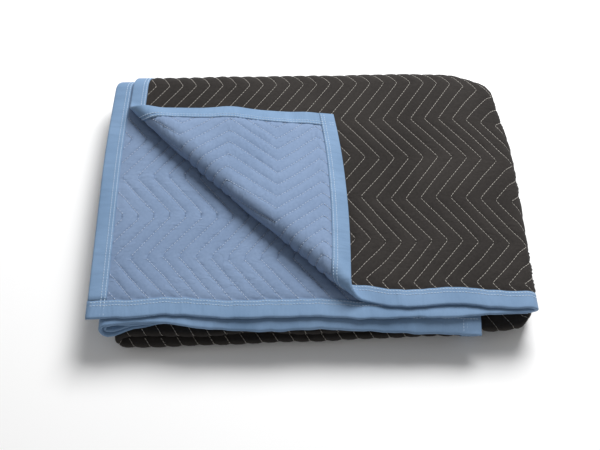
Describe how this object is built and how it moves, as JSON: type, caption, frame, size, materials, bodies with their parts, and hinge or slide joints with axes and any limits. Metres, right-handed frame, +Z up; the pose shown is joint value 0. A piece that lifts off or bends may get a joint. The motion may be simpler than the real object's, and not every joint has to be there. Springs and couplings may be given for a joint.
{
  "type": "moving blanket",
  "caption": "Quilted moving blanket folded into a flat stack, black and blue faces, bound edges, with one corner of the top layer turned back.",
  "frame": {"origin": "bottom centre of the stack's bounding box, on the surface it rests on", "axes": "+X to the right along the folded stack's long side, +Y to the back, away from the free edges, +Z up through the layers"},
  "size_m": [0.6617, 0.4927, 0.1057],
  "materials": {
    "black_cloth": "matt brown-black brushed cloth, quilted in zigzag lines with pale thread",
    "blue_cloth": "matt grey-blue cloth, quilted in zigzag lines with pale blue thread",
    "sky_binding": "matt sky-blue binding, sewn with two rows of pale stitches"
  },
  "bodies": {
    "root": {"black_face_cloth": "black_cloth", "blue_back_cloth": "blue_cloth", "upper_long_binding": "sky_binding", "lower_long_binding": "sky_binding", "inner_end_binding": "sky_binding", "outer_end_binding": "sky_binding"}
  },
  "joints": []
}
